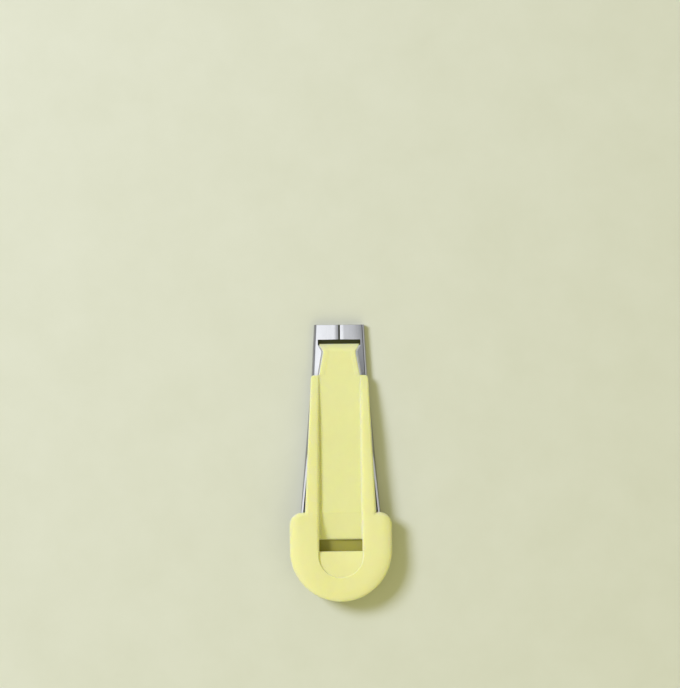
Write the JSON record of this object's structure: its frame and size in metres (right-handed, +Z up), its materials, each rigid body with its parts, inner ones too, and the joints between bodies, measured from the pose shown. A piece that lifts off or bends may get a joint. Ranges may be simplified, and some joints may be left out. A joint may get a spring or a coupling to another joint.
{
  "type": "bias tape maker",
  "caption": "Folded sheet metal funnel with a plastic thumb handle and web channel; pulls a fabric strip through a narrow tip that folds both edges in and lays fusible web on the tape",
  "frame": {"origin": "Centre of the footprint, on the underside of the metal floor.", "axes": "+Y runs along the tool from the handle to the narrow tip, +X is to the right when the tool lies flat with the tip away from the viewer, +Z is up from the metal floor."},
  "size_m": [0.0264, 0.0716, 0.0076],
  "materials": {
    "nickel_plated_steel": "bright nickel plate on pressed sheet, smooth with fine drawing lines",
    "yellow_plastic": "pale yellow injection moulded plastic, satin gloss",
    "inner_plastic": "olive yellow injection moulded plastic, plain"
  },
  "bodies": {
    "root": {"metal_body": "nickel_plated_steel", "web_guide": "yellow_plastic", "fabric_former": "inner_plastic"}
  },
  "joints": []
}
